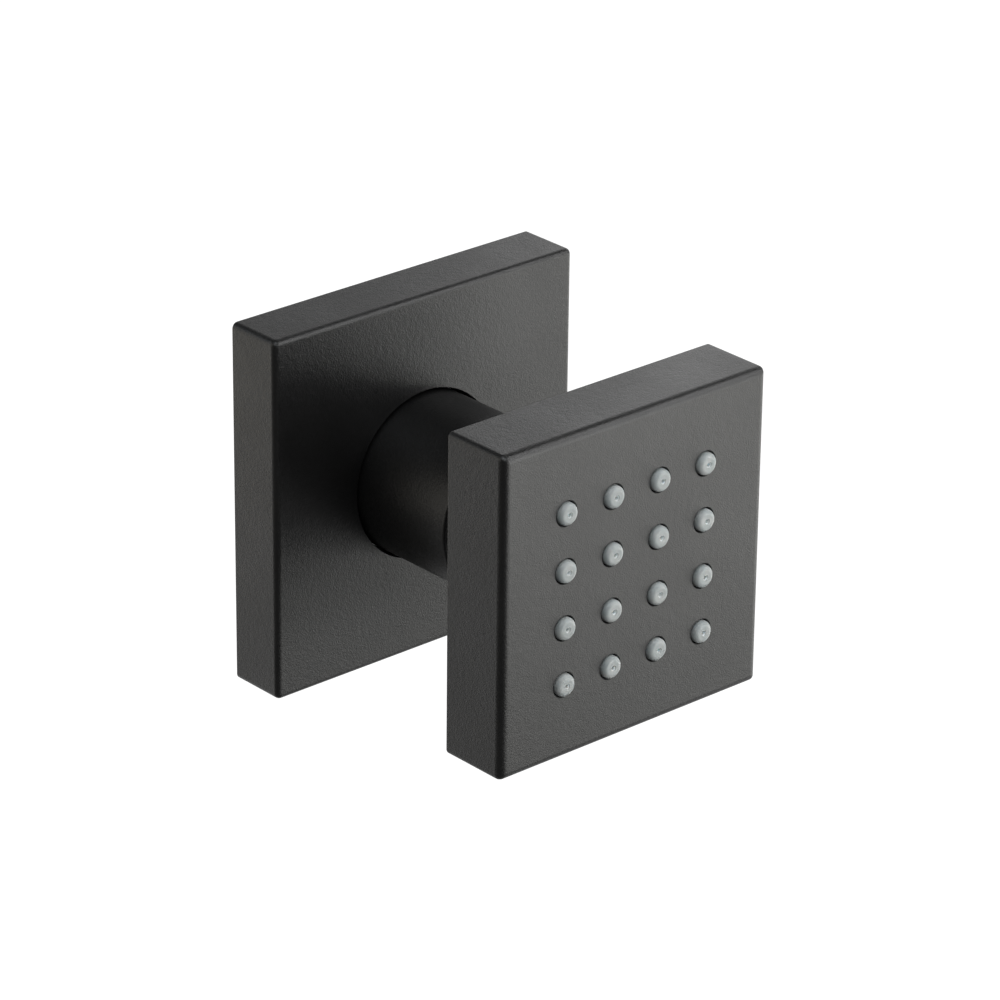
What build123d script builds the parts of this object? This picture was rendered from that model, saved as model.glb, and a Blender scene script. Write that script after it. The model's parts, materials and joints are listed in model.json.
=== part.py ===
from build123d import *
import os
from math import cos, radians, sin, sqrt

# Shower body jet: a square spray head on a ball joint, in a round neck that stands on a square wall plate.
# Millimetres. Each piece is drawn with the wall as its bench: x to the right, y up the wall, z out from it.
# At the end every piece is turned to stand, with +Z up, -Y out from the wall and the origin on the wall.

# Wall plate
plate_side = 57.0
plate_depth = 9.6
plate_wall = 1.6
plate_corner_radius = 0.9
plate_edge_radius = 0.85
plate_hole_gap = 0.5
collar_wall = 3.2
collar_depth = 7.0
gasket_width = 3.0
gasket_thickness = 2.0

# Neck
neck_radius = 12.85
neck_length = 28.4
neck_edge = 0.35
inlet_radius = 9.3
relief_radius = 9.9
washer_thickness = 2.0
washer_hole_radius = 5.4
strainer_thickness = 0.4
strainer_hole_radius = 0.5
strainer_hole_pitch = 1.5
strainer_rings = 3
limiter_radius = 6.6
limiter_depth = 3.0
web_thickness = 1.2
key_width = 8.0
chamber_radius = 10.4
ring_thread_radius = 11.3

# Flow limiter
limiter_wall = 1.7
limiter_base = 0.9
limiter_pin_radius = 1.5
limiter_port_radius = 0.7
limiter_port_count = 8
limiter_ring_section = 0.8
limiter_seal_section = 0.55

# Ball joint
ball_radius = 8.0
ball_depth = 4.8
ball_flat = 6.5
ball_bore_radius = 3.0
stem_radius = 5.0
seat_depth = 6.2
seat_split = 0.6
seat_passage_radius = 5.0
spring_thickness = 0.4
spring_height = 1.2
spring_hole_radius = 7.2
seal_section = 0.75
seal_angle = 63.0
seat_groove_place = 2.1
seat_groove_width = 1.7
seat_groove_depth = 1.25
slip_ring_depth = 2.7
ring_lip_thickness = 1.0
ring_notch_width = 2.4
ring_notch_depth = 1.3
ring_notch_count = 4
ring_notch_turn = 18.0

# Stem outside the ball
collar_gap = 5.0
collar_width = 12.0
collar_length = 2.6
stem_washer_thickness = 1.0
stem_washer_inset = 1.1

# Head
head_side = 50.0
head_depth = 11.8
projection = 55.0
head_wall = 1.6
head_corner_radius = 1.3
head_edge_radius = 1.25
head_rim_radius = 0.25
back_recess = 0.6
back_thickness = 1.8
boss_radius = 8.6
boss_edge = 0.6
post_radius = 2.4
post_inset = 5.2

# Spray
nozzle_rows = 4
nozzle_pitch = 8.85
nozzle_radius = 1.7
nozzle_height = 0.8
nozzle_rim_radius = 0.7
nozzle_root_radius = 1.8
nozzle_bore_radius = 0.95
orifice_radius = 0.3
orifice_mouth = 0.15
orifice_length = 0.9
hole_gap = 0.2
hole_edge = 0.12
sheet_thickness = 1.2
spray_plate_thickness = 1.8
feed_radius = 0.8
chamber_half = 15.4
chamber_wall = 1.8
chamber_corner_radius = 2.0
seal_cord = 0.8

# Screws
screw_radius = 1.2
screw_head_radius = 2.2
screw_head_depth = 1.2
screw_length = 6.0
slot_width = 0.5
slot_depth = 0.6
slot_share = 0.75

# Pieces drawn upwards from a place start there
BASE = (Align.CENTER, Align.CENTER, Align.MIN)

# Clearances
running = 0.05
loose = 0.1
sheet_gap = 0.2

# Places along the neck axis, out from the wall. The ball's place follows the neck's end, the pieces behind the
# ball stack up towards the wall, and the inlet thread takes the length that is left.
ball_centre = neck_length - ball_depth
seat_end = ball_centre - seat_split
seat_start = seat_end - seat_depth
chamber_start = seat_start - spring_height
limiter_end = chamber_start - web_thickness
shoulder = limiter_end - limiter_depth
strainer_start = shoulder - strainer_thickness
inlet_end = strainer_start - washer_thickness
slip_start = ball_centre + seat_split
slip_end = slip_start + slip_ring_depth
ring_end = slip_end + running + ring_lip_thickness
ring_start = seat_end + running
thread_end = ring_start - running
collar_start = neck_length + collar_gap
collar_end = collar_start + collar_length
boss_start = collar_end + stem_washer_thickness

# Places through the head, out from the wall
head_back = projection - head_depth
cover_start = head_back + back_recess
cover_end = cover_start + back_thickness
front_inside = projection - head_wall
sheet_start = front_inside - sheet_thickness
spray_plate_start = sheet_start - spray_plate_thickness

# Half widths across the plate and the head
plate_inside = plate_side / 2 - plate_wall
head_inside = head_side / 2 - head_wall
post_place = head_side / 2 - post_inset
hole_radius = nozzle_radius + hole_gap
plate_hole_radius = neck_radius + plate_hole_gap
collar_radius = plate_hole_radius + collar_wall

# The plate's ring fills the gap round the neck and most of a groove in the collar
plate_ring_section = (plate_hole_gap + collar_wall / 2) / 2
plate_ring_place = neck_radius + running + plate_ring_section
plate_ring_height = plate_depth - collar_depth / 2


def turned(points):
    """Solid of revolution about the neck axis through (radius, distance out) corners."""
    outline = Polyline(points, close=True)
    return revolve(Plane.XZ * make_face(outline), Axis.Z)


def tube(outer, inner, start, end):
    """Plain ring about the neck axis."""
    return turned([(inner, start), (outer, start), (outer, end), (inner, end)])


def o_ring(centre_radius, section, place):
    """Ring of round cord about the neck axis."""
    return Pos(0, 0, place) * Torus(centre_radius, section)


def slab(half, corner, start, end):
    """Square block with rounded corners, centred on the neck axis."""
    return Pos(0, 0, start) * extrude(RectangleRounded(2 * half, 2 * half, corner), end - start)


def square_places(half):
    """The four corners of a square about the axis."""
    return GridLocations(2 * half, 2 * half, 2, 2)


def nozzle_places():
    """The square grid of nozzles."""
    return GridLocations(nozzle_pitch, nozzle_pitch, nozzle_rows, nozzle_rows)


def rounded_block(half, corner, start, end, edge):
    """Square block whose outer face has rounded edges."""
    block = slab(half, corner, start, end)
    return fillet(block.faces().sort_by(Axis.Z)[-1].edges(), edge)


def wall_plate():
    """Deep square cap, open to the wall, with a collar round the neck."""
    cap = rounded_block(plate_side / 2, plate_corner_radius, 0, plate_depth, plate_edge_radius)
    cap -= slab(plate_inside, plate_corner_radius, 0, plate_depth - plate_wall)
    cap += tube(collar_radius, plate_hole_radius, plate_depth - collar_depth, plate_depth - plate_wall / 2)
    cap -= Cylinder(plate_hole_radius, 2 * plate_depth)
    return cap - o_ring(plate_ring_place, plate_ring_section + running, plate_ring_height)


def plate_o_ring():
    """Rubber ring that grips the neck and carries the plate."""
    return o_ring(plate_ring_place, plate_ring_section, plate_ring_height)


def wall_gasket():
    """Foam frame that closes the plate's edge to the wall."""
    half = plate_inside - loose
    frame = slab(half, plate_corner_radius, 0, gasket_thickness)
    return frame - slab(half - gasket_width, plate_corner_radius, 0, gasket_thickness)


def neck_body():
    """Turned neck: inlet thread bore, limiter pocket, key hole and ball chamber in one bar."""
    neck = turned([
        (limiter_radius, shoulder),
        (relief_radius, shoulder),
        (relief_radius, inlet_end),
        (inlet_radius, inlet_end),
        (inlet_radius, 0),
        (neck_radius - neck_edge, 0),
        (neck_radius, neck_edge),
        (neck_radius, neck_length - neck_edge),
        (neck_radius - neck_edge, neck_length),
        (ring_thread_radius + neck_edge, neck_length),
        (ring_thread_radius, neck_length - neck_edge),
        (ring_thread_radius, thread_end),
        (chamber_radius, thread_end),
        (chamber_radius, chamber_start),
        (0, chamber_start),
        (0, limiter_end),
        (limiter_radius, limiter_end),
    ])
    key_hole = extrude(RegularPolygon(key_width / 2, 6, major_radius=False), neck_length)
    return neck - key_hole


def inlet_washer():
    """Flat rubber washer that seals on the pipe's end."""
    return tube(relief_radius - sheet_gap, washer_hole_radius, inlet_end, strainer_start)


def strainer():
    """Thin steel disc with rings of small holes."""
    disc = Cylinder(relief_radius - sheet_gap, strainer_thickness, align=BASE)
    punch = Cylinder(strainer_hole_radius, 2 * strainer_thickness)
    holes = [punch]
    for ring in range(1, strainer_rings + 1):
        holes += [place * punch for place in PolarLocations(ring * strainer_hole_pitch, 6 * ring)]
    return Pos(0, 0, strainer_start) * (disc - holes)


def limiter_body():
    """Plastic cartridge: a cup with ports round a pin, and a groove for its seal."""
    outer = limiter_radius - running
    inner = outer - limiter_wall
    base = limiter_end - limiter_base
    pin_top = base - 2 * limiter_ring_section
    cup = turned([
        (0, limiter_end),
        (outer, limiter_end),
        (outer, shoulder),
        (inner, shoulder),
        (inner, base),
        (limiter_pin_radius, base),
        (limiter_pin_radius, pin_top),
        (0, pin_top),
    ])
    port = Pos(0, 0, limiter_end) * Cylinder(limiter_port_radius, 3 * limiter_base)
    ring = (inner + limiter_pin_radius) / 2
    cup -= [place * port for place in PolarLocations(ring, limiter_port_count)]
    return cup - o_ring(limiter_seal_place(), limiter_seal_section + running, (shoulder + limiter_end) / 2)


def limiter_seal_place():
    """Radius of the limiter seal's centre line."""
    return limiter_radius - running - limiter_seal_section


def limiter_seal():
    """Small ring that seals the limiter in its pocket."""
    return o_ring(limiter_seal_place(), limiter_seal_section, (shoulder + limiter_end) / 2)


def limiter_ring():
    """Soft ring that swells over the ports as the pressure rises."""
    inner = limiter_radius - running - limiter_wall
    centre = (inner + limiter_pin_radius) / 2
    return o_ring(centre, limiter_ring_section, limiter_end - limiter_base - limiter_ring_section)


def seat_spring():
    """Cone-shaped spring washer that presses the rear seat on the ball."""
    outer = chamber_radius - loose
    low = chamber_start
    high = chamber_start + spring_height
    return turned([
        (outer, low),
        (outer, low + spring_thickness),
        (spring_hole_radius, high),
        (spring_hole_radius, high - spring_thickness),
    ])


def ball_space():
    """The ball with its running clearance, to cut seats with."""
    return Pos(0, 0, ball_centre) * Sphere(ball_radius + running)


def ball_seal_place():
    """Centre line of the ring that seals on the ball: its radius and its distance out."""
    reach = ball_radius + running + seal_section
    return reach * sin(radians(seal_angle)), ball_centre - reach * cos(radians(seal_angle))


def rear_seat():
    """Plastic seat behind the ball, with a groove inside and a groove outside."""
    outer = chamber_radius - running
    groove_start = ball_centre - seat_groove_place - seat_groove_width / 2
    seat = tube(outer, seat_passage_radius, seat_start, seat_end)
    seat -= tube(chamber_radius, outer - seat_groove_depth, groove_start, groove_start + seat_groove_width)
    seat -= ball_space()
    radius, place = ball_seal_place()
    return seat - o_ring(radius, seal_section + running, place)


def seat_o_ring():
    """Ring that seals the rear seat in the neck."""
    section = seat_groove_depth / 2
    return o_ring(chamber_radius - running - section, section, ball_centre - seat_groove_place)


def ball_seal():
    """Ring in the rear seat that rubs on the ball."""
    radius, place = ball_seal_place()
    return o_ring(radius, seal_section, place)


def slip_ring():
    """Front seat of the ball: it turns freely in the retaining ring."""
    return tube(chamber_radius - running, ball_radius / 2, slip_start, slip_end) - ball_space()


def retaining_ring():
    """Screwed ring that holds the ball, with notches for a pin key in its face."""
    outer = ring_thread_radius - running
    lip_start = slip_end + running
    ring = turned([
        (ball_radius / 2, lip_start),
        (chamber_radius, lip_start),
        (chamber_radius, ring_start),
        (outer, ring_start),
        (outer, ring_end),
        (ball_radius / 2, ring_end),
    ])
    mouth = Pos(0, 0, ball_centre) * Sphere(ball_radius + 2 * running)
    reach = ring_end - ball_centre
    mouth += Pos(0, 0, ring_end) * Cylinder(sqrt((ball_radius + 2 * running) ** 2 - reach ** 2), ring_lip_thickness)
    notch = Box(2 * ring_notch_depth, ring_notch_width, ring_lip_thickness)
    notches = PolarLocations(outer, ring_notch_count, start_angle=ring_notch_turn)
    return ring - mouth - [Pos(0, 0, ring_end) * place * notch for place in notches]


def ball_stem():
    """Ball, hexagon collar and threaded stem in one piece, bored through for the water."""
    stem_start = ball_centre + sqrt(ball_radius ** 2 - stem_radius ** 2)
    flat_radius = sqrt(ball_radius ** 2 - ball_flat ** 2)
    outline = Polyline([
        (stem_radius, stem_start),
        (stem_radius, cover_end),
        (ball_bore_radius, cover_end),
        (ball_bore_radius, ball_centre - ball_flat),
        (flat_radius, ball_centre - ball_flat),
    ])
    curve = ThreePointArc((flat_radius, ball_centre - ball_flat), (ball_radius, ball_centre), (stem_radius, stem_start))
    stem = revolve(Plane.XZ * make_face(outline + curve), Axis.Z)
    collar = Pos(0, 0, collar_start) * extrude(RegularPolygon(collar_width / 2, 6, major_radius=False), collar_length)
    return stem + (collar - Pos(0, 0, collar_start) * Cylinder(ball_bore_radius, 2 * collar_length))


def stem_washer():
    """Rubber washer between the stem's collar and the head."""
    return tube(boss_radius - stem_washer_inset, stem_radius + loose, collar_end, boss_start)


def head_shell():
    """Square cup with nozzle holes in its face and four screw posts inside."""
    shell = rounded_block(head_side / 2, head_corner_radius, head_back, projection, head_edge_radius)
    shell = fillet(shell.faces().sort_by(Axis.Z)[0].edges(), head_rim_radius)
    shell -= slab(head_inside, head_corner_radius, head_back, front_inside)
    post = Pos(0, 0, cover_end) * Cylinder(post_radius, front_inside - cover_end, align=BASE)
    shell += [place * post for place in square_places(post_place)]
    pilot = Pos(0, 0, cover_end) * Cylinder(screw_radius + running, screw_length, align=BASE)
    shell -= [place * pilot for place in square_places(post_place)]
    hole = turned([
        (0, front_inside),
        (hole_radius, front_inside),
        (hole_radius, projection - hole_edge),
        (hole_radius + hole_edge, projection),
        (0, projection),
    ])
    return shell - [place * hole for place in nozzle_places()]


def head_cover():
    """Back of the head, with the boss that screws on the stem."""
    cover = slab(head_inside - loose, head_corner_radius, cover_start, cover_end)
    cover += turned([
        (0, boss_start),
        (boss_radius - boss_edge, boss_start),
        (boss_radius, boss_start + boss_edge),
        (boss_radius, cover_end),
        (0, cover_end),
    ])
    cover -= Cylinder(stem_radius + running, 3 * projection)
    sink = turned([
        (0, cover_start),
        (screw_head_radius + running, cover_start),
        (screw_radius + running, cover_start + screw_head_depth),
        (screw_radius + running, cover_end),
        (0, cover_end),
    ])
    return cover - [place * sink for place in square_places(post_place)]


def cover_screw():
    """Countersunk screw with a cross slot."""
    screw = turned([
        (0, cover_start),
        (screw_head_radius, cover_start),
        (screw_radius, cover_start + screw_head_depth),
        (screw_radius, cover_start + screw_length),
        (0, cover_start + screw_length),
    ])
    slot = Pos(0, 0, cover_start) * Box(2 * slot_share * screw_head_radius, slot_width, 2 * slot_depth)
    return screw - slot - Rot(0, 0, 90) * slot


def cover_screws():
    """The four screws that hold the cover to the posts."""
    return Part() + [place * cover_screw() for place in square_places(post_place)]


def square_ring(inner_half, width, start, end):
    """Square ring about the axis, with corners that keep its width."""
    outer_half = inner_half + width
    ring = slab(outer_half, chamber_corner_radius + width, start, end)
    return ring - slab(inner_half, chamber_corner_radius, start, end)


def seal_half():
    """Half width inside the cover seal, in the middle of the chamber's wall."""
    return chamber_half + (chamber_wall - seal_cord) / 2


def spray_plate():
    """Tray that spreads the water over the nozzles and presses the sheet on the shell."""
    tray = slab(head_inside - sheet_gap, head_corner_radius, spray_plate_start, sheet_start)
    tray += square_ring(chamber_half, chamber_wall, cover_end, spray_plate_start)
    tray -= square_ring(seal_half(), seal_cord, cover_end, cover_end + seal_cord)
    feed = Pos(0, 0, spray_plate_start) * Cylinder(feed_radius, 3 * spray_plate_thickness)
    tray -= [place * feed for place in nozzle_places()]
    return tray - post_holes(spray_plate_start)


def chamber_seal():
    """Square cord seal between the tray and the cover."""
    gap = running
    ring = square_ring(seal_half() + gap, seal_cord - 2 * gap, cover_end, cover_end + seal_cord)
    return ring


def post_holes(start):
    """Clear holes for the four screw posts."""
    hole = Pos(0, 0, start) * Cylinder(post_radius + sheet_gap, head_depth)
    return [place * hole for place in square_places(post_place)]


def nozzle(cut):
    """One soft nozzle with a rounded rim, or with cut true the water way inside it."""
    top = projection + nozzle_height
    if cut:
        bore_end = top - orifice_length
        return turned([
            (0, sheet_start),
            (nozzle_bore_radius, sheet_start),
            (nozzle_bore_radius, bore_end - (nozzle_bore_radius - orifice_radius)),
            (orifice_radius, bore_end),
            (orifice_radius, top - orifice_mouth),
            (orifice_radius + orifice_mouth, top),
            (0, top),
        ])
    rim_start = (nozzle_radius, top - nozzle_rim_radius)
    rim_end = (nozzle_radius - nozzle_rim_radius, top)
    sides = Polyline([rim_end, (0, top), (0, sheet_start), (nozzle_root_radius, sheet_start), rim_start])
    rim = TangentArc([rim_start, rim_end], tangent=(0, 1))
    return revolve(Plane.XZ * make_face(sides + rim), Axis.Z)


def nozzle_sheet():
    """Soft sheet with every nozzle moulded on it in one piece."""
    sheet = slab(head_inside - sheet_gap, head_corner_radius, sheet_start, front_inside)
    sheet += [place * nozzle(False) for place in nozzle_places()]
    sheet -= [place * nozzle(True) for place in nozzle_places()]
    return sheet - post_holes(sheet_start)


pieces = {
    "wall_plate": wall_plate(),
    "plate_o_ring": plate_o_ring(),
    "wall_gasket": wall_gasket(),
    "neck_body": neck_body(),
    "inlet_washer": inlet_washer(),
    "strainer": strainer(),
    "limiter_body": limiter_body(),
    "limiter_seal": limiter_seal(),
    "limiter_ring": limiter_ring(),
    "seat_spring": seat_spring(),
    "rear_seat": rear_seat(),
    "seat_o_ring": seat_o_ring(),
    "ball_seal": ball_seal(),
    "slip_ring": slip_ring(),
    "retaining_ring": retaining_ring(),
    "ball_stem": ball_stem(),
    "stem_washer": stem_washer(),
    "head_shell": head_shell(),
    "head_cover": head_cover(),
    "cover_screws": cover_screws(),
    "spray_plate": spray_plate(),
    "chamber_seal": chamber_seal(),
    "nozzle_sheet": nozzle_sheet(),
}

os.makedirs("parts", exist_ok=True)
for name, piece in pieces.items():
    export_step(Rot(90, 0, 0) * piece, "parts/" + name + ".step")
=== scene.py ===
# %% [markdown]
# # A square shower body jet in matt black
#
# The object is a small shower that stands out of a bathroom wall. A square plate hides the hole in the
# wall, a round neck comes out of the plate, and a square head with sixteen soft nozzles sits on a ball
# joint in the neck. The solids come from the CAD model, so here Blender has to give them their finishes, a
# camera and a studio. Two solids get more form: the neck gets its inlet thread, and the head gets crisper
# side edges.

# %% Load the solids
import json
import bmesh
import bpy
import numpy as np
from mathutils import Matrix


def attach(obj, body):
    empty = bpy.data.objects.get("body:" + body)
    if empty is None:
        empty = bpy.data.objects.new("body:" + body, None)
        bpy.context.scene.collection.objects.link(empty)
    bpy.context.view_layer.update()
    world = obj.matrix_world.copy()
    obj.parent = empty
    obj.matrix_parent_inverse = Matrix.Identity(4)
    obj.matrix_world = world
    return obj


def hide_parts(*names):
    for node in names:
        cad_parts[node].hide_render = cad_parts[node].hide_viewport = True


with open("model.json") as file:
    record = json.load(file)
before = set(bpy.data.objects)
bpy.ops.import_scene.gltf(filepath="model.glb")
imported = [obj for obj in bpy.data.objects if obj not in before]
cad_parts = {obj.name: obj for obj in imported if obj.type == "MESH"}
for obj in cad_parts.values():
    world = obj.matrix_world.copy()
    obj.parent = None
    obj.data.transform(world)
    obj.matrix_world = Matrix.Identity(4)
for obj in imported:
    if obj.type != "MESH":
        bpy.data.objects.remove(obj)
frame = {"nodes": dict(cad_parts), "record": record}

for name in ("Cube", "Light", "Camera"):
    if name in bpy.data.objects:
        bpy.data.objects.remove(bpy.data.objects[name])
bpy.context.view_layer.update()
MM = 0.001

# %% [markdown]
# ## The camera
#
# The photograph was taken with a long lens from the left and a little above. A camera can be found by eye,
# or by measuring the edges of the plate and the head and solving for the view in which a box of their size
# has those edges. The second way was used, because with a lens this long a few degrees of error would
# hardly show until the pieces were laid over each other. The camera is stated by two angles, a small roll,
# a distance and the point that it looks at.

# %% Helpers for directions
def unit(v):
    """A vector divided by its own length."""
    return np.asarray(v, float) / np.linalg.norm(v)


def placed(x_axis, y_axis, z_axis, place):
    """The matrix of an object whose own axes point these ways and which stands at that place."""
    matrix = np.eye(4)
    matrix[:3] = np.column_stack([x_axis, y_axis, z_axis, place])
    return Matrix(matrix.tolist())


# %% Camera
AZIMUTH, ELEVATION, ROLL = np.radians([-41.62, 24.52, 0.64])
DISTANCE = 0.7075
LENS = 174.8
AIM_RIGHT, AIM_UP = 0.74 * MM, 0.905 * MM
OBJECT_MIDDLE = np.array([0, -25 * MM, 0])
CLIP_START = 0.01

level = np.array([np.sin(AZIMUTH), -np.cos(AZIMUTH), 0])
back = np.cos(ELEVATION) * level + np.array([0, 0, np.sin(ELEVATION)])
level_right = unit(np.cross(-back, (0, 0, 1)))
level_up = np.cross(level_right, -back)
right = np.cos(ROLL) * level_right + np.sin(ROLL) * level_up
up = np.cos(ROLL) * level_up - np.sin(ROLL) * level_right
eye = OBJECT_MIDDLE + AIM_RIGHT * right + AIM_UP * up + back * DISTANCE

camera = bpy.data.objects.new("camera", bpy.data.cameras.new("camera"))
bpy.context.scene.collection.objects.link(camera)
camera.data.lens = LENS
camera.data.sensor_fit = "HORIZONTAL"
camera.data.clip_start = CLIP_START
camera.matrix_world = placed(right, up, back, eye)
bpy.context.scene.camera = camera
bpy.context.scene.view_settings.view_transform = "Standard"
print("camera at", eye.round(3))

# %% [markdown]
# ## Node helpers
#
# A material in Blender is a graph of small steps. Building one in code takes three lines a node, which
# hides what the graph does, so a few short helpers come first. One adds a node and joins or sets its inputs
# in the same line. Another makes a node group, which is a graph that several materials share.

# %% Helpers that add nodes
def fill(tree, node, inputs):
    """Joins or sets each named input of a node. A value is either a socket to join or a plain value."""
    for key, value in inputs.items():
        if isinstance(value, bpy.types.NodeSocket):
            tree.links.new(value, node.inputs[key])
        else:
            node.inputs[key].default_value = value
    return node


def put(tree, kind, inputs=None, **settings):
    """Adds a node with its inputs and settings."""
    node = tree.nodes.new(kind)
    for key, value in settings.items():
        setattr(node, key, value)
    return fill(tree, node, inputs or {})


def maths(tree, operation, *values):
    """One Math node, with its inputs in order."""
    return put(tree, "ShaderNodeMath", dict(enumerate(values)), operation=operation).outputs[0]


def ramp(tree, value, low, high, start=0.0, end=1.0):
    """A smooth step from start to end while the value goes from low to high."""
    inputs = {"Value": value, "From Min": low, "From Max": high, "To Min": start, "To Max": end}
    return put(tree, "ShaderNodeMapRange", inputs, interpolation_type="SMOOTHSTEP").outputs[0]


def mix(tree, mask, first, second):
    """Goes from one value to another by a mask."""
    return put(tree, "ShaderNodeMix", {0: mask, 2: first, 3: second}).outputs[0]


def blend(tree, mask, first, second):
    """Goes from one colour to another by a mask."""
    return put(tree, "ShaderNodeMix", {0: mask, 6: first, 7: second}, data_type="RGBA").outputs[2]


def object_place(tree):
    """The place of a point in the object's own coordinates."""
    return put(tree, "ShaderNodeTexCoord").outputs["Object"]


def along_neck(tree):
    """Two values of a point: its distance from the neck's axis, the root of x x + z z, and its y."""
    x, y, z = put(tree, "ShaderNodeSeparateXYZ", {0: object_place(tree)}).outputs
    square = maths(tree, "ADD", maths(tree, "MULTIPLY", x, x), maths(tree, "MULTIPLY", z, z))
    return maths(tree, "SQRT", square), y


# %% Helpers for node groups
def new_group(name, inputs, outputs):
    """A node group with named sockets: (tree, its input sockets, a function that fills its outputs)."""
    tree = bpy.data.node_groups.new(name, "ShaderNodeTree")
    for label in inputs:
        tree.interface.new_socket(name=label, in_out="INPUT", socket_type="NodeSocketFloat")
    for label in outputs:
        tree.interface.new_socket(name=label, in_out="OUTPUT", socket_type="NodeSocketFloat")
    start = tree.nodes.new("NodeGroupInput").outputs
    end = tree.nodes.new("NodeGroupOutput")
    return tree, start, lambda **made: fill(tree, end, made)


def use(tree, group, inputs):
    """Places a node group in a tree and gives its outputs."""
    node = tree.nodes.new("ShaderNodeGroup")
    node.node_tree = group
    return fill(tree, node, inputs).outputs


# %% [markdown]
# ## The studio
#
# A black object shows little of its own colour: what the eye sees is mostly the room, blurred, in its
# surface. In the photograph the flat faces are grey and the edges that face the camera are black, so there
# was light on three sides and nothing bright near the camera. The lamps could be placed by eye. Here the
# model was lit by one lamp at a time, and the strengths were solved for, so that together they give the
# tones of the photograph. That came to three large lamps far off, seven nearer ones and a white backdrop.
# The high lamp on the left is there for the pale nozzles, because the black faces send its light away from
# the camera. The floor is pale and lies well below, since the object hangs on a wall.

# %% World
BACKDROP = -back
AMBIENT = 0.25
CEILING = 0.22
DARK_ROOM = 0.02
FADE_FROM, FADE_TO = 0.1, 0.45
WHITE = (1, 1, 1, 1)


def seen_in_gloss(tree):
    """1 for a ray that a shiny or clear surface sends on, else 0."""
    path = put(tree, "ShaderNodeLightPath").outputs
    return maths(tree, "MAXIMUM", path["Is Glossy Ray"], path["Is Transmission Ray"])


def towards_backdrop(tree, way, low, high, start, end):
    """A smooth step over how far a direction points to the backdrop."""
    inputs = {0: way, 1: BACKDROP.tolist()}
    facing = put(tree, "ShaderNodeVectorMath", inputs, operation="DOT_PRODUCT").outputs["Value"]
    return ramp(tree, facing, low, high, start, end)


world = bpy.data.worlds.new("studio")
bpy.context.scene.world = world
world.use_nodes = True
tree = world.node_tree
tree.nodes.clear()
direction = put(tree, "ShaderNodeTexCoord").outputs["Generated"]
height = put(tree, "ShaderNodeSeparateXYZ", {0: direction}).outputs["Z"]
white = ramp(tree, height, FADE_FROM, FADE_TO, 1.0, CEILING)
room = maths(tree, "MULTIPLY", white, towards_backdrop(tree, direction, FADE_FROM, FADE_TO, DARK_ROOM, 1.0))
strength = mix(tree, seen_in_gloss(tree), AMBIENT, room)
camera_ray = put(tree, "ShaderNodeLightPath").outputs["Is Camera Ray"]
strength = mix(tree, camera_ray, strength, 1.0)
surface = put(tree, "ShaderNodeBackground", {"Color": WHITE, "Strength": strength})
put(tree, "ShaderNodeOutputWorld", {"Surface": surface.outputs[0]})
print("world: white towards", BACKDROP.round(2))

# %% A soft lamp
LAMPS_AIM = np.array([0, -30 * MM, 0])


def soft_lamp(name, turn, lift, width, height, radiance, distance, tint):
    """A rectangular lamp that looks at the object.

    turn is its direction from +X towards +Y and lift its height, both in degrees, and so are its width and
    height as the object sees them. Side = 2 distance tan(angle / 2). Power = radiance times pi times area.
    """
    turn, lift, width, height = np.radians([turn, lift, width, height])
    size = 2 * distance * np.tan(np.array([width, height]) / 2)
    lamp = bpy.data.objects.new(name, bpy.data.lights.new(name, "AREA"))
    lamp.data.shape = "RECTANGLE"
    lamp.data.size, lamp.data.size_y = size
    lamp.data.energy = radiance * np.pi * size[0] * size[1]
    lamp.data.color = tint
    bpy.context.scene.collection.objects.link(lamp)
    z = np.array([np.cos(lift) * np.cos(turn), np.cos(lift) * np.sin(turn), np.sin(lift)])
    x = unit(np.cross((0, 0, 1), z))
    lamp.matrix_world = placed(x, np.cross(z, x), z, LAMPS_AIM + z * distance)
    lamp.visible_camera = False
    print("lamp", name, round(lamp.data.energy, 2), "W")


# %% Lamps: name, turn, lift, width, height, radiance, distance, tint
FAR, NEAR = 0.8, 0.25
PLAIN, WARM, COOL = (1, 1, 1), (1.0, 0.95, 0.86), (0.72, 0.84, 1.0)
CREAM, IVORY = (1.0, 1.0, 0.94), (1.0, 1.0, 0.96)
AMBER, DAYLIGHT = (1.0, 0.72, 0.2), (0.93, 0.97, 1.0)
LAMPS = [
    ("front_lamp", 288, 0, 36, 31, 1.9, FAR, PLAIN),
    ("low_right_lamp", 340, -30, 36, 31, 3.75, FAR, CREAM),
    ("left_lamp", 154, 14, 50, 42, 0.68, FAR, WARM),
    ("near_front_lamp", 300, 14, 25, 32, 2.9, NEAR, PLAIN),
    ("near_high_lamp", 320, 38, 25, 25, 4.1, NEAR, PLAIN),
    ("near_low_lamp", 300, -17, 60, 30, 1.48, NEAR, IVORY),
    ("near_top_lamp", 30, 29, 34, 25, 1.4, NEAR, PLAIN),
    ("cool_back_lamp", 120, 20, 25, 25, 0.53, NEAR, COOL),
    ("warm_back_lamp", 108, -10, 25, 25, 0.38, NEAR, AMBER),
    ("high_left_lamp", 222, 58, 45, 40, 2.2, NEAR, DAYLIGHT),
]
for lamp in LAMPS:
    soft_lamp(*lamp)

# %% [markdown]
# ## The floor
#
# A floor that is lit until it looks white would also light the object from below. So this one is a matt
# grey that takes the shadow, and on top of it a white glow that only the camera sees, and the shiny faces
# where they look towards the backdrop. The glow grows with the distance, so that the floor runs into the
# white behind it.

# %% Floor
FLOOR_Z, FLOOR_HALF = -0.3, 6
GLOW_FROM, GLOW_TO, GLOW_UNDER = 0.32, 0.5, 0.55
BEHIND_FULL, BEHIND_GLOW = 0.3, 0.9
MATT_GREY = (0.3, 0.3, 0.3, 1)

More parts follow.
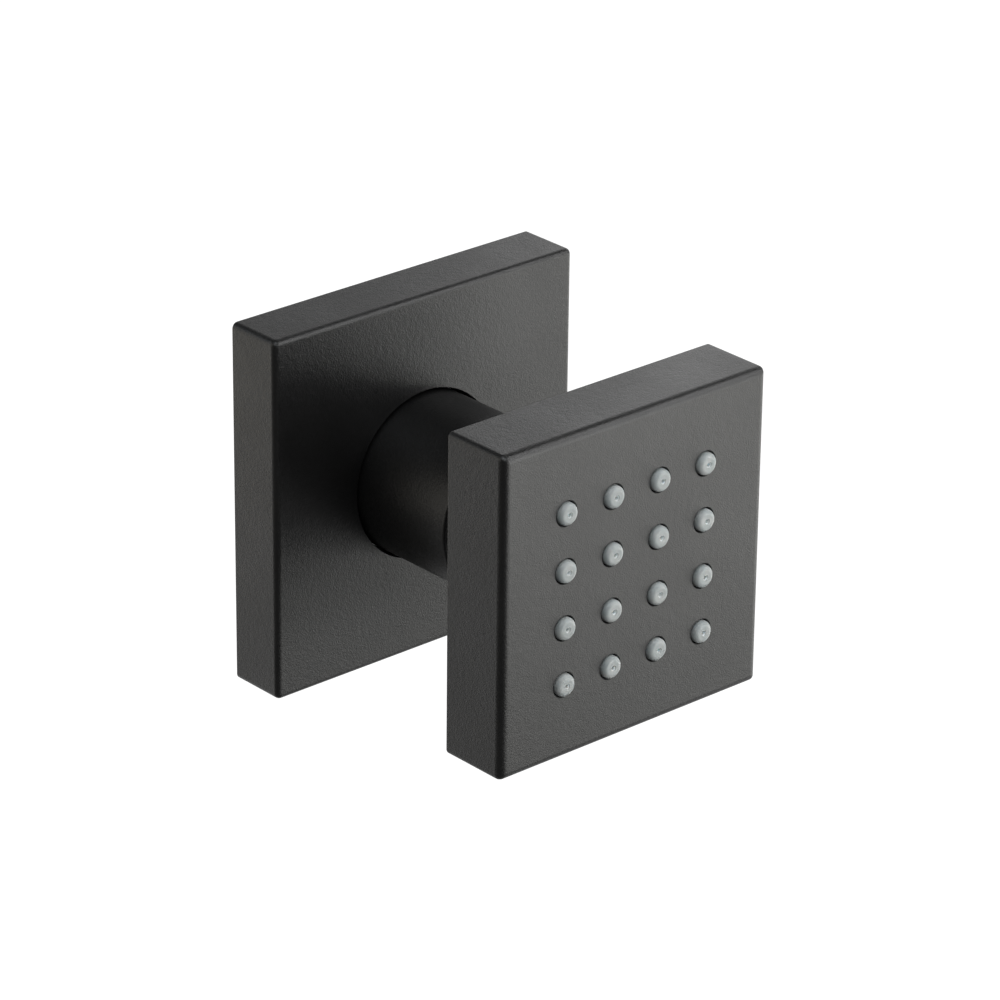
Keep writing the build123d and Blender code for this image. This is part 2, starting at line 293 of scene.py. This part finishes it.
corners = [(-1, -1), (1, -1), (1, 1), (-1, 1)]
floor_mesh = bpy.data.meshes.new("floor")
floor_mesh.from_pydata([(FLOOR_HALF * x, FLOOR_HALF * y, FLOOR_Z) for x, y in corners], [], [(0, 1, 2, 3)])
floor = bpy.data.objects.new("floor", floor_mesh)
bpy.context.scene.collection.objects.link(floor)

pale = bpy.data.materials.new("pale_floor")
pale.use_nodes = True
tree = pale.node_tree
tree.nodes.clear()
spot = object_place(tree)
distance = put(tree, "ShaderNodeVectorMath", {0: spot}, operation="LENGTH").outputs["Value"]
glow = ramp(tree, distance, GLOW_FROM, GLOW_TO, GLOW_UNDER, 1.0)
camera_ray = put(tree, "ShaderNodeLightPath").outputs["Is Camera Ray"]
behind = towards_backdrop(tree, spot, 0.0, BEHIND_FULL, 0.0, BEHIND_GLOW)
seen = maths(tree, "MAXIMUM", camera_ray, maths(tree, "MULTIPLY", seen_in_gloss(tree), behind))
shine = put(tree, "ShaderNodeEmission", {"Color": WHITE, "Strength": maths(tree, "MULTIPLY", glow, seen)})
matt = put(tree, "ShaderNodeBsdfDiffuse", {"Color": MATT_GREY})
both = put(tree, "ShaderNodeAddShader", {0: shine.outputs[0], 1: matt.outputs[0]})
put(tree, "ShaderNodeOutputMaterial", {"Surface": both.outputs[0]})
floor_mesh.materials.append(pale)
print("floor at", FLOOR_Z, "m")

# %% [markdown]
# ## Shared effects
#
# Four effects turn up in more than one finish. Grain is the fine unevenness of a sprayed or moulded
# surface. Cloud is the slow change of tone over a centimetre or so. Edge finds the rounded edges, where a
# coat is thinner and where the black coat gets a painted edge highlight. Turned lines are the fine circles
# that a lathe leaves round the axis. Each could be built again in every material, but as node groups they
# are built once, and give a mask or a height that the materials use.

# %% Grain and cloud
def noise(tree, per_metre, **inputs):
    """Soft random values over the surface, with that many waves to the metre."""
    inputs = {"Vector": object_place(tree), "Scale": per_metre, **inputs}
    return put(tree, "ShaderNodeTexNoise", inputs).outputs["Fac"]


grain, given, results = new_group("grain", ["Size", "Mix"], ["Height"])
per_metre = maths(grain, "DIVIDE", 1.0, given["Size"])
fine = noise(grain, per_metre, Detail=2.0, Roughness=0.6)
wide = noise(grain, maths(grain, "DIVIDE", per_metre, 4.0), Detail=1.0)
results(Height=mix(grain, given["Mix"], fine, wide))

cloud, given, results = new_group("cloud", ["Size"], ["Mask"])
slow = noise(cloud, maths(cloud, "DIVIDE", 1.0, given["Size"]), Detail=3.0)
results(Mask=ramp(cloud, slow, 0.3, 0.7))

# %% Edge and turned lines
EDGE_FROM, EDGE_TO = 0.995, 0.85

edge, given, results = new_group("edge", ["Width"], ["Mask"])
rounded = put(edge, "ShaderNodeBevel", {"Radius": given["Width"]}, samples=4).outputs[0]
facing = put(edge, "ShaderNodeNewGeometry").outputs["Normal"]
alike = put(edge, "ShaderNodeVectorMath", {0: rounded, 1: facing}, operation="DOT_PRODUCT").outputs["Value"]
results(Mask=ramp(edge, alike, EDGE_FROM, EDGE_TO))

turned, given, results = new_group("turned_lines", ["Pitch"], ["Height"])
radius, y = along_neck(turned)
along = maths(turned, "DIVIDE", maths(turned, "ADD", radius, y), given["Pitch"])
lines = put(turned, "ShaderNodeTexNoise", {"W": along, "Scale": 1.0, "Detail": 2.0}, noise_dimensions="1D")
results(Height=lines.outputs["Fac"])
print("groups:", [g.name for g in bpy.data.node_groups])

# %% [markdown]
# ## The black coat
#
# Plate, neck and head are metal sprayed with black powder and baked. The coat is nearly black, satin rather
# than shiny, with a very fine grain that only shows where light skims it, as on top of the head. A plain
# dark colour with a middle roughness would do from far off. The grain as a bump and the slow change of
# roughness are what keep the large flat faces from looking like paper.

# %% How a material starts and ends
def material(name):
    """An empty node material: (material, tree)."""
    made = bpy.data.materials.new(name)
    made.use_nodes = True
    made.node_tree.nodes.clear()
    return made, made.node_tree


def finish_with(tree, inputs, bump, depth):
    """Ends a material: a Principled shader with these inputs, and a bump of that height and depth."""
    bumped = put(tree, "ShaderNodeBump", {"Strength": 1.0, "Distance": depth, "Height": bump})
    shader = put(tree, "ShaderNodeBsdfPrincipled", {**inputs, "Normal": bumped.outputs[0]})
    put(tree, "ShaderNodeOutputMaterial", {"Surface": shader.outputs[0]})


# %% Material: black coat
COAT_DARK, COAT_PALE = (0.0040, 0.0040, 0.0041, 1), (0.0052, 0.0051, 0.0050, 1)
# Colour of the rounded edges: a thinner coat there, and a painted edge highlight.
COAT_THIN_EDGE_HIGHLIGHT = (0.0085, 0.0083, 0.0080, 1)
COAT_GRAIN = 0.07 * MM


def coat_look(tree):
    """The coat as three sockets: colour, roughness and the height of its grain."""
    tone = use(tree, cloud, {"Size": 14 * MM})["Mask"]
    thin_edge_highlight = use(tree, edge, {"Width": 0.5 * MM})["Mask"]
    speck = use(tree, grain, {"Size": 0.22 * MM, "Mix": 0.35})["Height"]
    colour = blend(tree, tone, COAT_DARK, COAT_PALE)
    # Painted highlight: the rounded edges are painted lighter, where the coat is also thinner.
    colour = blend(tree, maths(tree, "MULTIPLY", thin_edge_highlight, 0.5), colour, COAT_THIN_EDGE_HIGHLIGHT)
    uneven = maths(tree, "ADD", maths(tree, "MULTIPLY", tone, 0.4), speck)
    return colour, ramp(tree, uneven, 0.3, 1.1, 0.36, 0.44), speck


coat, tree = material("black_powder_coat")
colour, rough, speck = coat_look(tree)
finish_with(tree, {"Base Color": colour, "Roughness": rough, "IOR": 1.6}, speck, COAT_GRAIN)

# %% [markdown]
# ## Bare brass inside the neck
#
# The inlet thread is masked while the neck is sprayed, because powder in a thread would keep the pipe from
# going in. So the bore stays bare brass with the fine circles of the tool in it. The neck could have two
# materials, one on each set of faces, but the powder ends in a soft line that is a little uneven, which a
# mask inside a single material gives more easily. The mask is 1 where the radius is small and the wall is
# near.

# %% Material: coated neck with a bare bore
BARE_RADIUS, BARE_DEPTH = 11.0 * MM, 16 * MM
SOFT_LINE, SOFT_END, UNEVEN_LINE = 0.25 * MM, 0.3 * MM, 0.1 * MM
BRASS_DARK, BRASS_PALE = (0.62, 0.44, 0.20, 1), (0.74, 0.56, 0.29, 1)

neck_coat, tree = material("neck_coat_with_bare_bore")
colour, rough, speck = coat_look(tree)
lines = use(tree, turned, {"Pitch": 0.12 * MM})["Height"]
tone = use(tree, cloud, {"Size": 5 * MM})["Mask"]
radius, y = along_neck(tree)
uneven = maths(tree, "ADD", radius, maths(tree, "MULTIPLY", tone, UNEVEN_LINE))
bare = ramp(tree, uneven, BARE_RADIUS + SOFT_LINE, BARE_RADIUS)
bare = maths(tree, "MULTIPLY", bare, ramp(tree, y, -BARE_DEPTH - SOFT_END, -BARE_DEPTH))
brass = blend(tree, tone, BRASS_DARK, BRASS_PALE)
rough = mix(tree, bare, rough, ramp(tree, lines, 0.3, 0.7, 0.22, 0.38))
height = mix(tree, bare, speck, maths(tree, "MULTIPLY", lines, 0.2))
colour = blend(tree, bare, colour, brass)
inputs = {"Base Color": colour, "Metallic": bare, "Roughness": rough, "IOR": 1.6}
finish_with(tree, inputs, height, COAT_GRAIN)
print("materials:", [m.name for m in (coat, neck_coat)])

# %% [markdown]
# ## Grey silicone
#
# The nozzles are one sheet of pale grey silicone, so that lime can be rubbed off them. Light goes a
# millimetre into it, which makes the shadow side of each dome soft and grey instead of black, so it gets
# some scattering under the surface. In and round the water hole at the tip of each nozzle, where shade
# falls, the colour is painted much paler. This is painted light that takes the shade out of the hole. That
# spot could be a ring of its own on each nozzle. Since they stand on a grid of one pitch, a mask over the
# distance from the nearest grid point gives all sixteen at once.

# %% Material: silicone
NOZZLE_PITCH = 8.85 * MM
# The next sizes and the pale colour are for painted light in and round each water hole.
HOLE_LIGHT_FROM, HOLE_LIGHT_TO = 0.42 * MM, 0.30 * MM
SILICONE_DARK, SILICONE_PALE = (0.315, 0.345, 0.345, 1), (0.37, 0.385, 0.38, 1)
SILICONE_PAINTED_LIGHT = (0.76, 0.79, 0.79, 1)


def off_grid(tree, value):
    """How far a coordinate is from the middle of its grid square, in pitches: the fraction less a half."""
    return maths(tree, "SUBTRACT", maths(tree, "FRACT", maths(tree, "DIVIDE", value, NOZZLE_PITCH)), 0.5)


silicone, tree = material("grey_silicone")
tone = use(tree, cloud, {"Size": 1.6 * MM})["Mask"]
skin = use(tree, grain, {"Size": 0.5 * MM, "Mix": 0.6})["Height"]
colour = blend(tree, tone, SILICONE_DARK, SILICONE_PALE)
x, y, z = put(tree, "ShaderNodeSeparateXYZ", {0: object_place(tree)}).outputs
squares = [maths(tree, "MULTIPLY", off, off) for off in (off_grid(tree, x), off_grid(tree, z))]
off_axis = maths(tree, "MULTIPLY", maths(tree, "SQRT", maths(tree, "ADD", *squares)), NOZZLE_PITCH)
# Painted light: the colour goes much paler in and round each water hole, where shade falls.
colour = blend(tree, ramp(tree, off_axis, HOLE_LIGHT_FROM, HOLE_LIGHT_TO), colour, SILICONE_PAINTED_LIGHT)
finish_with(tree, {
    "Base Color": colour, "Roughness": ramp(tree, skin, 0.35, 0.65, 0.32, 0.50),
    "Subsurface Weight": 0.8, "Subsurface Radius": (0.9, 0.95, 1.0), "Subsurface Scale": 1.0 * MM,
}, skin, 0.04 * MM)

# %% [markdown]
# ## Rubber, plastics and foam
#
# The rings are black rubber, the seats and the flow limiter are white acetal, and the tray in the head is a
# dark moulding. All three came out of a mould, so one function makes them: two tones that drift into each
# other, and a grain that changes the roughness and the height. A single colour would look like wax where a
# ring is seen from near. The gasket in the plate is a foam with closed cells, which a pattern of rounded
# cells gives, as a bump and with painted shade that darkens the hollow of each cell.

# %% Materials: rubber, acetal and dark moulding
def moulded(name, tones, cloud_size, grain_size, grain_mix, roughness, depth, **more):
    """A moulded finish: two tones by cloud, roughness and bump by grain. Sizes are in millimetres."""
    made, tree = material(name)
    tone = use(tree, cloud, {"Size": cloud_size * MM})["Mask"]
    skin = use(tree, grain, {"Size": grain_size * MM, "Mix": grain_mix})["Height"]
    inputs = {"Base Color": blend(tree, tone, *tones), "Roughness": ramp(tree, skin, 0.3, 0.7, *roughness)}
    finish_with(tree, {**inputs, **more}, skin, depth * MM)
    return made


RUBBER_TONES = (0.013, 0.013, 0.013, 1), (0.028, 0.028, 0.027, 1)
ACETAL_TONES = (0.74, 0.74, 0.70, 1), (0.80, 0.80, 0.77, 1)
MOULDING_TONES = (0.10, 0.10, 0.105, 1), (0.13, 0.13, 0.135, 1)
CLEAR_DEPTH = {"Subsurface Weight": 0.1, "Subsurface Scale": 0.6 * MM}

rubber = moulded("black_rubber", RUBBER_TONES, 3, 0.15, 0.3, (0.45, 0.62), 0.006)
acetal = moulded("white_acetal", ACETAL_TONES, 5, 0.3, 0.4, (0.28, 0.40), 0.004, **CLEAR_DEPTH)
moulding = moulded("dark_moulding", MOULDING_TONES, 8, 0.18, 0.2, (0.42, 0.58), 0.008)
print("materials:", [m.name for m in (silicone, rubber, acetal, moulding)])

# %% Material: foam
CELL = 0.45 * MM
# Dark colour of the cell hollows: painted shade.
FOAM_HOLLOW_SHADE = (0.018, 0.018, 0.019, 1)
FOAM_DARK, FOAM_PALE = (0.05, 0.05, 0.052, 1), (0.075, 0.075, 0.075, 1)

foam, tree = material("closed_cell_foam")
inputs = {"Vector": object_place(tree), "Scale": 1 / CELL}
cell = put(tree, "ShaderNodeTexVoronoi", inputs).outputs["Distance"]
tone = use(tree, cloud, {"Size": 6 * MM})["Mask"]
skin = blend(tree, tone, FOAM_DARK, FOAM_PALE)
# Painted shade: the hollow of each cell is painted darker.
colour = blend(tree, ramp(tree, cell, 0.1, 0.6), FOAM_HOLLOW_SHADE, skin)
finish_with(tree, {"Base Color": colour, "Roughness": 0.9, "Sheen Weight": 0.2}, cell, 0.12 * MM)

# %% [markdown]
# ## Plated metal and steel
#
# The ball and its stem are plated and polished, and the strainer, the spring and the screws are bright
# steel. Bare metal shows the room, so its colour matters less than its roughness. A perfect mirror would
# look drawn. The fine circles of the lathe, as lines that change the roughness and barely the height, break
# it up.

# %% Materials: plated metal and steel
def machined(name, tones, cloud_size, pitch, roughness, depth):
    """A machined metal: two tones by cloud, roughness and bump by turned lines. Sizes are in millimetres."""
    made, tree = material(name)
    lines = use(tree, turned, {"Pitch": pitch * MM})["Height"]
    tone = use(tree, cloud, {"Size": cloud_size * MM})["Mask"]
    rough = ramp(tree, lines, 0.3, 0.7, *roughness)
    inputs = {"Base Color": blend(tree, tone, *tones), "Metallic": 1.0, "Roughness": rough}
    finish_with(tree, inputs, lines, depth * MM)
    return made


PLATED_TONES = (0.66, 0.67, 0.69, 1), (0.72, 0.73, 0.74, 1)
STEEL_TONES = (0.50, 0.50, 0.51, 1), (0.58, 0.58, 0.59, 1)

plated = machined("plated_metal", PLATED_TONES, 6, 0.2, (0.10, 0.18), 0.001)
steel = machined("bright_steel", STEEL_TONES, 4, 0.08, (0.24, 0.36), 0.003)
print("materials:", [m.name for m in (foam, plated, steel)])

# %% [markdown]
# ## Give the solids their finishes
#
# The CAD model says for each solid which material it has. Each could be dressed by name, one line after the
# other, but then a solid that is added later would stay plain. A table from the CAD's materials to the
# finishes above, and one loop over all solids, dresses them all.

# %% Finishes
FINISH = {
    "black_coat": coat, "plated": plated, "steel": steel, "silicone": silicone, "rubber": rubber,
    "foam": foam, "acetal": acetal, "moulding": moulding,
}
for part in frame["record"]["subparts"]:
    for place in frame["nodes"][part["node"]].material_slots:
        place.material = FINISH[part["material_slot"]]
    print(part["node"], "->", part["material_slot"])

# %% [markdown]
# ## The neck and its thread
#
# The neck is turned from one bar. Its back end has a half inch pipe thread, a row of rounded grooves that
# wind round the bore, and the CAD solid has a plain bore there. A thread can be swept as a separate coil,
# or cut with a boolean, but both leave poor faces. Here the whole neck is one surface of two parameters: an
# angle round the axis and a place along the closed outline. The radius gets a wave whose crest moves along
# the axis by one pitch for each turn, which is exactly what a thread is.

# %% Sizes of the neck, in millimetres
NECK_RADIUS, NECK_END = 12.85, 28.4
BORE, RELIEF, POCKET, CHAMBER, RING_BORE = 9.3, 9.9, 6.6, 10.4, 11.3
SHOULDER, POCKET_END, WEB_END, RING_THREAD_END = 11.4, 14.4, 15.6, 23.0
KEY_FLAT = 4.0
THREAD_PITCH, THREAD_DEPTH = 1.814, 1.162
CHAMFER_END, THREAD_START, THREAD_END, RELIEF_START = 0.81, 0.9, 8.7, 9.0
SHARP, TIGHT, SMALL, SOFT, FRONT = 0, 0.15, 0.2, 0.3, 0.35
ARC_STEPS = 4
TURNS = 144
ROWS_PER_PITCH = 16
SHARP_ANGLE = np.radians(35)


# %% Outline with rounded corners
def outline(corners):
    """Points along a closed outline of straight runs, in radius and distance from the wall.

    A corner (r, u, size) is rounded by a parabola that leaves one run and meets the next that far from the
    corner: P(t) = (1-t)(1-t) A + 2t(1-t) C + t t B.
    """
    points = []
    for k, (r, u, size) in enumerate(corners):
        corner = np.array([r, u])
        before = np.array(corners[k - 1][:2]) - corner
        after = np.array(corners[(k + 1) % len(corners)][:2]) - corner
        if size == SHARP:
            points.append(corner[None])
            continue
        a, b = corner + unit(before) * size, corner + unit(after) * size
        t = np.linspace(0, 1, ARC_STEPS + 1)[:, None]
        points.append((1 - t) ** 2 * a + 2 * t * (1 - t) * corner + t ** 2 * b)
    return np.vstack(points)


neck_outline = outline([
    (NECK_RADIUS, 0, SOFT), (NECK_RADIUS, NECK_END, FRONT), (RING_BORE, NECK_END, SOFT),
    (RING_BORE, RING_THREAD_END, SHARP), (CHAMBER, RING_THREAD_END, SMALL), (CHAMBER, WEB_END, SMALL),
    (KEY_FLAT, WEB_END, SHARP), (KEY_FLAT, POCKET_END, SHARP), (POCKET, POCKET_END, TIGHT),
    (POCKET, SHOULDER, SHARP), (RELIEF, SHOULDER, SHARP), (RELIEF, RELIEF_START, SHARP),
])
thread_rows = np.arange(THREAD_END, THREAD_START, -THREAD_PITCH / ROWS_PER_PITCH)
thread_outline = np.stack([np.full(len(thread_rows), BORE), thread_rows], axis=1)
mouth = np.array([[BORE, CHAMFER_END], [BORE + THREAD_DEPTH, 0]])
whole = np.vstack([neck_outline, thread_outline, mouth])
print("outline:", len(whole), "points")


# %% Neck surface
def lathe_mesh(name, radii, places):
    """A closed mesh from grids of radius and of distance from the wall, with one row for each angle.

    Point = (r sin a, -u, r cos a).
    """
    turns, steps = radii.shape
    angle = np.linspace(0, 2 * np.pi, turns, endpoint=False)[:, None]
    points = np.stack([radii * np.sin(angle), -places, radii * np.cos(angle)], axis=-1) * MM
    i, j = np.meshgrid(np.arange(turns), np.arange(steps), indexing="ij")
    ahead, beside = (i + 1) % turns, (j + 1) % steps
    faces = np.stack([i * steps + j, i * steps + beside, ahead * steps + beside, ahead * steps + j], axis=-1)
    mesh = bpy.data.meshes.new(name)
    mesh.from_pydata(points.reshape(-1, 3).tolist(), [], faces.reshape(-1, 4).tolist())
    mesh.shade_smooth()
    mesh.set_sharp_from_angle(angle=SHARP_ANGLE)
    return mesh


angle = np.linspace(0, 2 * np.pi, TURNS, endpoint=False)[:, None]
radii = np.repeat(whole[None, :, 0], TURNS, axis=0)
places = np.repeat(whole[None, :, 1], TURNS, axis=0)
wave = 0.5 - 0.5 * np.cos(2 * np.pi * (places / THREAD_PITCH - angle / (2 * np.pi)))
in_thread = (places > THREAD_START) & (places <= THREAD_END) & (radii == BORE)
radii = radii + in_thread * THREAD_DEPTH * wave
hexagon = KEY_FLAT / np.cos((angle + np.pi / 6) % (np.pi / 3) - np.pi / 6)
radii = np.where(radii == KEY_FLAT, hexagon, radii)
neck = bpy.data.objects.new("neck_with_thread", lathe_mesh("neck_with_thread", radii, places))
bpy.context.scene.collection.objects.link(neck)
neck.data.materials.append(neck_coat)
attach(neck, "neck")
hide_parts("neck_body")
print("neck:", len(neck.data.polygons), "faces")

# %% [markdown]
# ## Crisper side edges on the head
#
# The front edges of the head are softly rounded, but in the photograph the four edges that run back from
# them are crisper: about 0.8 mm against 1.3 mm in the CAD solid. The head could be modelled again, or cut
# with a boolean. It is simpler to take a copy of the solid and to push the points of its four round corners
# out along their own directions, as far as a tighter round reaches there. The normals turn with them, so
# flats stay flat.

# %% Where the points of a corner go
HEAD_HALF, SOFT_ROUND, CRISP_ROUND = 25.0 * MM, 1.3 * MM, 0.8 * MM
MERGE_WITHIN = 0.001 * MM
FLAT = SOFT_ROUND - CRISP_ROUND
XZ = [0, 2]


def tighter_round(points):
    """Which points are in a corner, how far they move out, as a factor, and which way they then face.

    Seen from the front, a corner is a quarter circle about a centre. A ray from that centre meets the tighter
    outline on a flat or on its smaller circle, and the factor is that distance over the soft radius.
    """
    past = np.abs(points[:, XZ]) - (HEAD_HALF - SOFT_ROUND)
    in_corner = (past > MERGE_WITHIN).all(axis=1)
    way = np.where(in_corner[:, None], past, 1.0)
    way = way / np.linalg.norm(way, axis=1, keepdims=True)
    largest = way.max(axis=1)
    on_flat = way.min(axis=1) / largest * SOFT_ROUND <= FLAT
    middle = FLAT * way.sum(axis=1)
    on_round = middle + np.sqrt(np.maximum(middle ** 2 - 2 * FLAT ** 2 + CRISP_ROUND ** 2, 0))
    reach = np.where(on_flat, SOFT_ROUND / largest, on_round)
    flat_way = way == largest[:, None]
    round_way = (way * reach[:, None] - FLAT) / CRISP_ROUND
    faces_way = np.where(on_flat[:, None], flat_way, round_way) * np.sign(points[:, XZ])
    return in_corner, np.where(in_corner, reach / SOFT_ROUND, 1.0), faces_way


# %% Copy and merge the head
def numbers_of(things, label, width):
    """One row of numbers for each item of a mesh."""
    values = np.empty(len(things) * width)
    things.foreach_get(label, values)
    return values.reshape(-1, width)


head_mesh = frame["nodes"]["head_shell"].data.copy()
head_mesh.name = "head_with_crisp_edges"
normals = numbers_of(head_mesh.corner_normals, "vector", 3)
merging = bmesh.new()
merging.from_mesh(head_mesh)
bmesh.ops.remove_doubles(merging, verts=merging.verts, dist=MERGE_WITHIN)
merging.to_mesh(head_mesh)
merging.free()
print("head:", len(head_mesh.vertices), "points,", len(head_mesh.polygons), "faces")

# %% Head with crisper side edges
points = numbers_of(head_mesh.vertices, "co", 3)
in_corner, factor, faces_way = tighter_round(points)
centre = np.sign(points[:, XZ]) * (HEAD_HALF - SOFT_ROUND)
pushed = centre + (points[:, XZ] - centre) * factor[:, None]
points[:, XZ] = np.where(in_corner[:, None], pushed, points[:, XZ])
head_mesh.vertices.foreach_set("co", points.ravel())

point_of = numbers_of(head_mesh.loops, "vertex_index", 1).astype(int).ravel()
sideways = np.linalg.norm(normals[:, XZ], axis=1, keepdims=True)
normals[:, XZ] = np.where(in_corner[point_of, None], sideways * faces_way[point_of], normals[:, XZ])
head_mesh.update()
head_mesh.normals_split_custom_set(normals.tolist())
head = bpy.data.objects.new("head_with_crisp_edges", head_mesh)
bpy.context.scene.collection.objects.link(head)
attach(head, "head")
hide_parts("head_shell")
print("head:", int(in_corner.sum()), "points moved")

# %% Finish
bpy.context.view_layer.update()
